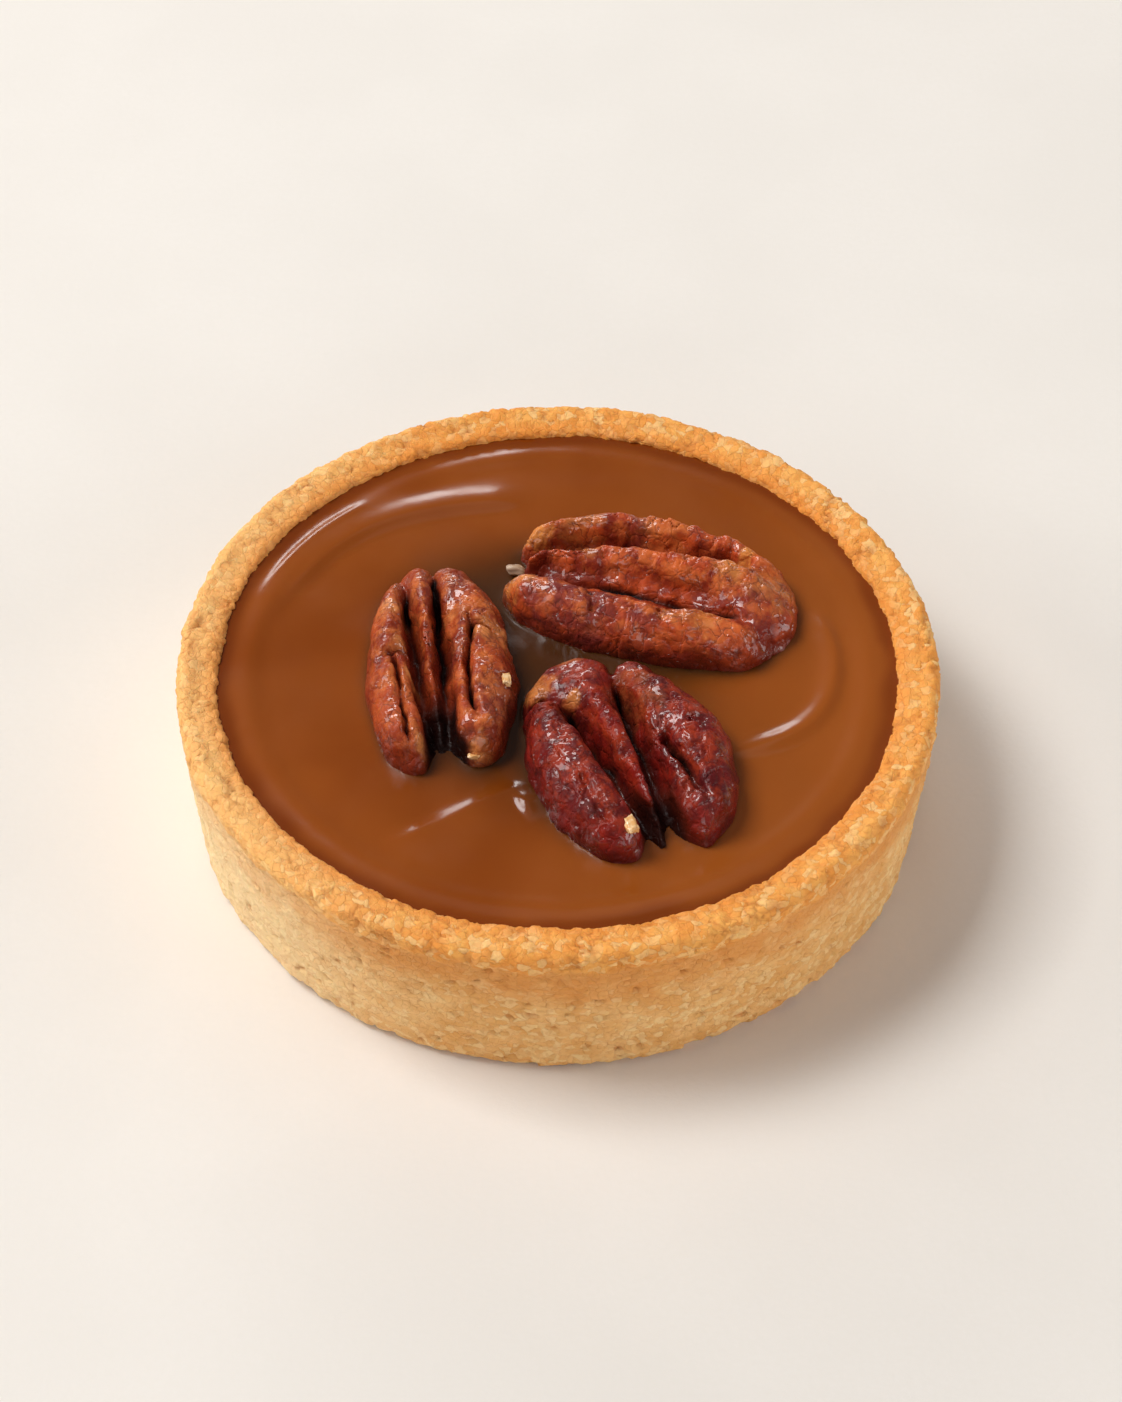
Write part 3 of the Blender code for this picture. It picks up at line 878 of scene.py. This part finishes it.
class Nodes:
    """A material's nodes, with a short way to add one and link it."""

    def __init__(self, name):
        self.material = bpy.data.materials.new(name)
        self.material.use_nodes = True
        self.tree = self.material.node_tree
        self.shader = self.tree.nodes["Principled BSDF"]
        self.place = self.tree.nodes.new("ShaderNodeTexCoord").outputs["Object"]

    def link(self, source, target):
        self.tree.links.new(source, target)

    def noise(self, size, detail=2.0, rough=0.5, stretch=None):
        """Noise with features of the given size in millimetres."""
        node = self.tree.nodes.new("ShaderNodeTexNoise")
        node.inputs["Scale"].default_value = 1 / (size * MM)
        node.inputs["Detail"].default_value = detail
        node.inputs["Roughness"].default_value = rough
        if stretch:
            mapping = self.tree.nodes.new("ShaderNodeMapping")
            mapping.inputs["Scale"].default_value = stretch
            self.link(self.place, mapping.inputs["Vector"])
            self.link(mapping.outputs["Vector"], node.inputs["Vector"])
        else:
            self.link(self.place, node.inputs["Vector"])
        return node.outputs[0]

    def cells(self, size, reading="level", warp=0.4, stretch=(1.0, 1.0, 1.0)):
        """Irregular cells, sized in millimetres: a level for each, or the distance to its middle or edge."""
        wander = self.tree.nodes.new("ShaderNodeTexNoise")
        wander.inputs["Scale"].default_value = 1 / (size * MM)
        self.link(self.place, wander.inputs["Vector"])
        moved = self.tree.nodes.new("ShaderNodeVectorMath")
        moved.operation = "MULTIPLY_ADD"
        self.link(wander.outputs["Color"], moved.inputs[0])
        moved.inputs[1].default_value = (warp * size * MM,) * 3
        self.link(self.place, moved.inputs[2])
        scaled = self.tree.nodes.new("ShaderNodeVectorMath")
        scaled.operation = "MULTIPLY"
        self.link(moved.outputs[0], scaled.inputs[0])
        scaled.inputs[1].default_value = stretch
        node = self.tree.nodes.new("ShaderNodeTexVoronoi")
        node.feature, output = CELL_READINGS[reading]
        node.inputs["Scale"].default_value = 1 / (size * MM)
        self.link(scaled.outputs[0], node.inputs["Vector"])
        return node.outputs[output]

    def attribute(self, name):
        node = self.tree.nodes.new("ShaderNodeAttribute")
        node.attribute_name = name
        return node.outputs["Fac"]

    def ranged(self, value, low, high, to_low=0.0, to_high=1.0):
        """The value's range low to high laid on to_low to to_high, smooth and clamped."""
        node = self.tree.nodes.new("ShaderNodeMapRange")
        node.interpolation_type = "SMOOTHSTEP"
        self.link(value, node.inputs["Value"])
        for key, number in (("From Min", low), ("From Max", high), ("To Min", to_low), ("To Max", to_high)):
            node.inputs[key].default_value = number
        return node.outputs["Result"]

    def math(self, operation, a, b):
        node = self.tree.nodes.new("ShaderNodeMath")
        node.operation = operation
        for socket, value in zip(node.inputs, (a, b), strict=False):
            if isinstance(value, (int, float)):
                socket.default_value = value
            else:
                self.link(value, socket)
        return node.outputs[0]

    def mixed(self, share, a, b):
        """Colour a turning into colour b; either may be a constant."""
        node = self.tree.nodes.new("ShaderNodeMix")
        node.data_type = "RGBA"
        for socket, value in ((node.inputs["Factor"], share), (node.inputs[6], a), (node.inputs[7], b)):
            if isinstance(value, tuple):
                socket.default_value = (*value, 1.0)
            elif isinstance(value, (int, float)):
                socket.default_value = value
            else:
                self.link(value, socket)
        return node.outputs[2]

    def bump(self, height, distance, strength=1.0, below=None):
        """A bump as deep as the distance in millimetres, on top of another one."""
        node = self.tree.nodes.new("ShaderNodeBump")
        node.inputs["Distance"].default_value = distance * MM
        node.inputs["Strength"].default_value = strength
        self.link(height, node.inputs["Height"])
        if below is not None:
            self.link(below, node.inputs["Normal"])
        return node.outputs["Normal"]

    def set(self, **values):
        """Sets the shader's inputs, with _ for a space in a name, to constants, colours or outputs."""
        for key, value in values.items():
            socket = self.shader.inputs[key.replace("_", " ")]
            if isinstance(value, (int, float)):
                socket.default_value = value
            elif isinstance(value, tuple):
                socket.default_value = (*value, 1.0) if len(socket.default_value) == 4 else value
            else:
                self.link(value, socket)


def crust_material():
    """Golden crumb: paler and flaky on the wall, browner on the rim, with painted shade in the crevices,
    cracks and low spots and painted light on the left side.
    """
    n = Nodes("Baked shortcrust")
    flakes = n.cells(0.9, warp=0.8, stretch=(1, 1, 1.3))
    grains = n.cells(0.42, warp=0.8)
    cracks = n.cells(0.9, "edge", warp=0.8, stretch=(1, 1, 1.3))
    patches = n.ranged(n.noise(5.0, 3, stretch=(1, 1, 1.6)), 0.35, 0.65)
    wall = n.mixed(patches, (0.82, 0.40, 0.108), (0.91, 0.51, 0.18))
    wall = n.mixed(n.ranged(flakes, 0.45, 0.85, 0, 0.55), wall, (0.98, 0.71, 0.34))
    wall = n.mixed(n.ranged(grains, 0.5, 0.15, 0, 0.35), wall, (0.72, 0.34, 0.10))
    # The wall darker towards the top, broken up by noise
    toward_top = n.math("ADD", n.attribute("tall"), n.math("MULTIPLY", n.noise(4.0, 3), 0.6))
    toward_top = n.ranged(toward_top, 0.75, 1.15)
    # Painted light: the wall's left side paler and less darkened
    wall = n.mixed(n.math("MULTIPLY", n.attribute("pale"), 0.75), wall, (1.0, 0.74, 0.40))
    less = n.ranged(n.attribute("pale"), 0.0, 1.0, 0.85, 0.35)
    wall = n.mixed(n.math("MULTIPLY", toward_top, less), wall, (0.76, 0.29, 0.05))
    rim = n.mixed(n.ranged(n.noise(2.6, 3), 0.35, 0.65), (0.85, 0.31, 0.042), (0.93, 0.42, 0.085))
    rim = n.mixed(n.ranged(flakes, 0.5, 0.85, 0, 0.65), rim, (0.98, 0.64, 0.26))
    rim = n.mixed(n.ranged(grains, 0.45, 0.15, 0, 0.3), rim, (0.70, 0.23, 0.032))
    # Painted light: the rim's left side paler
    rim = n.mixed(n.math("MULTIPLY", n.attribute("pale"), 0.55), rim, (1.0, 0.58, 0.21))
    rim = n.mixed(n.math("MULTIPLY", n.attribute("inner"), 0.6), rim, (0.86, 0.27, 0.026))
    colour = n.mixed(n.attribute("rim"), wall, rim)
    # Painted shade: low spots of the crumb darker orange
    colour = n.mixed(n.ranged(n.attribute("lumps"), -0.1, -0.6, 0, 0.25), colour, (0.80, 0.30, 0.045))
    # Painted shade: thin dark lines along the cracks
    crack_shade = n.math("MULTIPLY", n.ranged(cracks, 0.10, 0.0), n.ranged(n.noise(1.8, 2), 0.45, 0.6))
    colour = n.mixed(n.math("MULTIPLY", crack_shade, 0.25), colour, (0.60, 0.19, 0.025))
    # Painted shade: darkest in the crevices
    colour = n.mixed(n.ranged(n.attribute("crevice"), 0.15, 0.9, 0, 0.5), colour, (0.55, 0.17, 0.022))
    height = n.bump(flakes, 0.14, 0.8)
    height = n.bump(grains, 0.10, 0.8, height)
    height = n.bump(n.ranged(cracks, 0.0, 0.12), 0.07, 0.7, height)
    height = n.bump(n.noise(0.45, 4, 0.65), 0.15, 0.8, height)
    n.set(Base_Color=colour, Roughness=0.75, Normal=height)
    n.set(Subsurface_Weight=0.15, Subsurface_Radius=(1.0, 0.45, 0.2), Subsurface_Scale=0.0015)
    return n.material


def caramel_material():
    """Glossy caramel: lighter to the right, with painted shade next to the crust and dark painted shade by
    the nuts.
    """
    n = Nodes("Set caramel")
    tone = n.ranged(n.noise(16.0, 2), 0.35, 0.65)
    colour = n.mixed(tone, (0.225, 0.046, 0.003), (0.265, 0.060, 0.006))
    colour = n.mixed(n.math("MULTIPLY", n.attribute("bright"), 0.8), colour, (0.33, 0.082, 0.010))
    # Painted shade next to the crust
    colour = n.mixed(n.math("MULTIPLY", n.attribute("edge"), 0.8), colour, (0.17, 0.028, 0.001))
    # Painted shade near the nuts
    colour = n.mixed(n.ranged(n.attribute("nut_shade"), 0.7, 1.5, 0, 0.85), colour, (0.036, 0.015, 0.004))
    rough = n.ranged(n.noise(9.0, 3), 0.3, 0.7, 0.15, 0.25)
    soft = n.bump(n.noise(2.5, 3), 0.04, 0.5)
    n.set(Base_Color=colour, Roughness=rough, Normal=soft, IOR=1.42)
    n.set(Subsurface_Weight=0.12, Subsurface_Radius=(1.0, 0.4, 0.15), Subsurface_Scale=0.002)
    return n.material


# The skins' colours, in linear light; light is the painted highlight on the crests, dark also the painted
# shade on the flanks
SKINS = {
    "pecan_left": dict(
        name="Pecan left",
        dark=(0.24, 0.026, 0.007),
        mid=(0.42, 0.064, 0.015),
        light=(0.68, 0.18, 0.042),
        golden=(0.84, 0.32, 0.09),
        purple=(0.20, 0.030, 0.020),
    ),
    "pecan_far": dict(
        name="Pecan far",
        dark=(0.22, 0.020, 0.007),
        mid=(0.50, 0.066, 0.014),
        light=(0.72, 0.165, 0.036),
        golden=(0.74, 0.26, 0.055),
        purple=(0.13, 0.018, 0.022),
    ),
    "pecan_front": dict(
        name="Pecan front",
        dark=(0.10, 0.005, 0.004),
        mid=(0.23, 0.011, 0.006),
        light=(0.40, 0.040, 0.010),
        golden=(0.62, 0.20, 0.045),
        purple=(0.065, 0.006, 0.009),
    ),
}


def nut_material(name, dark, mid, light, golden, purple):
    """Pecan skin under a syrup glaze, with golden and purple patches, tiny beads of syrup, painted light on
    the crests and painted shade on the flanks and in the grooves.
    """
    n = Nodes(name)
    plates = n.cells(1.6, "edge", warp=1.2, stretch=(1.0, 1.0, 0.8))
    wrinkles = n.cells(0.7, "edge", warp=1.5)
    colour = n.mixed(n.ranged(n.noise(4.2, 4, 0.6), 0.40, 0.60), dark, mid)
    colour = n.mixed(n.math("MULTIPLY", n.attribute("purple"), 0.75), colour, purple)
    # Painted light: crests lighter and oranger, as if lit from above
    crest = n.math("MULTIPLY", n.attribute("crest"), n.ranged(n.noise(2.0, 4, 0.65), 0.42, 0.62))
    colour = n.mixed(n.math("MULTIPLY", crest, 0.7), colour, light)
    patchy = n.ranged(n.noise(1.6, 3, 0.6), 0.35, 0.55, 0.35, 0.9)
    colour = n.mixed(n.math("MULTIPLY", n.attribute("golden"), patchy), colour, golden)
    veins = n.math("MULTIPLY", n.ranged(plates, 0.06, 0.0), n.ranged(n.noise(2.2, 2), 0.42, 0.6))
    colour = n.mixed(n.math("MULTIPLY", veins, 0.6), colour, (0.09, 0.012, 0.006))
    fine = n.math("MULTIPLY", n.ranged(wrinkles, 0.05, 0.0), n.ranged(n.noise(1.7, 2), 0.45, 0.6))
    colour = n.mixed(n.math("MULTIPLY", fine, 0.35), colour, (0.12, 0.016, 0.008))
    # Painted shade on the flanks
    colour = n.mixed(n.math("MULTIPLY", n.attribute("flank_shade"), 0.7), colour, dark)
    colour = n.mixed(n.math("MULTIPLY", n.attribute("flank_shade"), 0.35), colour, (0.05, 0.006, 0.003))
    # Grooves darker, partly their own skin and mostly painted shade, near black at the bottom
    colour = n.mixed(n.ranged(n.attribute("groove"), 0.0, 0.4, 0, 0.8), colour, (0.10, 0.012, 0.004))
    colour = n.mixed(n.ranged(n.attribute("groove"), 0.2, 0.6, 0, 0.97), colour, (0.007, 0.0015, 0.001))
    open_skin = n.ranged(n.attribute("groove"), 0.05, 0.5, 1.0, 0.0)
    beads = n.ranged(n.cells(1.1, "middle", warp=0.5), 0.16, 0.04)
    glaze = n.math("ADD", n.ranged(n.noise(2.2, 3), 0.40, 0.60, 0.12, 0.9), beads)
    glaze = n.math("MULTIPLY", glaze, open_skin)
    rough = n.ranged(n.noise(1.6, 3), 0.35, 0.65, 0.34, 0.55)
    skin = n.bump(n.noise(0.9, 3, 0.55), 0.10, 0.7)
    skin = n.bump(n.ranged(plates, 0.0, 0.12), 0.08, 0.7, skin)
    skin = n.bump(n.ranged(wrinkles, 0.0, 0.12), 0.03, 0.5, skin)
    wet = n.bump(n.noise(0.9, 1), 0.05, 0.5)
    wet = n.bump(beads, 0.09, 1.0, wet)
    n.set(Base_Color=colour, Roughness=rough, Normal=skin, Specular_IOR_Level=0.15)
    n.set(Coat_Weight=glaze, Coat_Normal=wet)
    n.set(Coat_Roughness=0.045, Coat_IOR=1.5)
    n.set(Subsurface_Weight=0.05, Subsurface_Radius=(1.0, 0.3, 0.1), Subsurface_Scale=0.001)
    return n.material


def chip_material():
    """The pale flesh of a broken nut."""
    n = Nodes("Broken nut")
    colour = n.mixed(n.ranged(n.noise(0.8, 3), 0.4, 0.6), (0.76, 0.38, 0.12), (0.88, 0.60, 0.32))
    n.set(Base_Color=colour, Roughness=0.4, Normal=n.bump(n.noise(0.4, 2), 0.08, 0.5), Coat_Weight=0.4)
    return n.material


def bead_material():
    """Syrup that lets some light through."""
    n = Nodes("Clear syrup")
    colour = n.mixed(n.ranged(n.noise(1.0, 2), 0.4, 0.6), (0.60, 0.36, 0.20), (0.78, 0.56, 0.38))
    n.set(Base_Color=colour, Roughness=0.15, IOR=1.45)
    n.set(Transmission_Weight=0.35)
    return n.material


def floor_material():
    """A matt, warm white table top."""
    n = Nodes("Pale table")
    colour = n.mixed(n.ranged(n.noise(30.0, 3), 0.35, 0.65), (0.805, 0.752, 0.69), (0.825, 0.772, 0.71))
    colour = n.mixed(n.ranged(n.noise(0.9, 4, 0.7), 0.35, 0.65, 0, 0.25), colour, (0.80, 0.745, 0.67))
    n.set(Base_Color=colour, Roughness=0.9, Normal=n.bump(n.noise(0.7, 4, 0.6), 0.12, 0.35))
    return n.material


# Stage


def make_floor():
    """The table under the tartlet."""
    mesh = bpy.data.meshes.new("floor")
    corners = [(x * TABLE_HALF, y * TABLE_HALF, 0) for x, y in ((-1, -1), (1, -1), (1, 1), (-1, 1))]
    mesh.from_pydata(corners, [], [(0, 1, 2, 3)])
    mesh.materials.append(floor_material())
    floor = bpy.data.objects.new("floor", mesh)
    bpy.context.scene.collection.objects.link(floor)


def area_light(name, azimuth, elevation, distance, size, power):
    """A soft white lamp that looks at the tartlet; azimuth runs from the front (-Y) towards +X."""
    a, e = math.radians(azimuth), math.radians(elevation)
    place = Vector((math.sin(a) * math.cos(e), -math.cos(a) * math.cos(e), math.sin(e))) * distance
    data = bpy.data.lights.new(name, "AREA")
    data.shape = "RECTANGLE"
    data.size, data.size_y = size
    data.energy = power
    lamp = bpy.data.objects.new(name, data)
    lamp.location = place
    lamp.rotation_euler = (-place).to_track_quat("-Z", "Y").to_euler()
    bpy.context.scene.collection.objects.link(lamp)


def make_light():
    """A dim white world and the soft lamps."""
    world = bpy.data.worlds.new("Studio")
    world.use_nodes = True
    background = world.node_tree.nodes["Background"]
    background.inputs["Color"].default_value = (1.0, 1.0, 1.0, 1.0)
    background.inputs["Strength"].default_value = WORLD_STRENGTH
    bpy.context.scene.world = world
    for lamp in LAMPS:
        area_light(*lamp)


def make_camera():
    """On the front side, looking down at the tartlet."""
    elevation = math.radians(CAMERA_ELEVATION)
    back = Vector((0.0, -math.cos(elevation), math.sin(elevation)))
    right = Vector((1.0, 0.0, 0.0))
    up = back.cross(right)
    aim = Vector((0.0, 0.0, AIM_HEIGHT)) + AIM_RIGHT * right + AIM_UP * up
    data = bpy.data.cameras.new("camera")
    data.lens = CAMERA_LENS
    data.sensor_width = CAMERA_SENSOR
    data.clip_start = 0.01
    camera = bpy.data.objects.new("camera", data)
    bpy.context.scene.collection.objects.link(camera)
    turn = Matrix((right, up, back)).transposed().to_4x4()
    camera.matrix_world = Matrix.Translation((aim + CAMERA_DISTANCE * back) * MM) @ turn
    bpy.context.scene.camera = camera


def remove_startup_objects():
    """Blender's own first scene brings three objects."""
    for obj in list(bpy.data.objects):
        if obj.name in ("Cube", "Light", "Camera"):
            bpy.data.objects.remove(obj)


def main():
    remove_startup_objects()
    make_crust(crust_material())
    make_caramel(caramel_material())
    for name, skin in SKINS.items():
        make_nut(name, nut_material(**skin))
    pale = chip_material()
    for chip in CHIPS:
        make_chip(*chip, pale)
    make_bead(bead_material())
    make_floor()
    make_light()
    make_camera()
    bpy.context.scene.view_settings.view_transform = "Standard"


main()
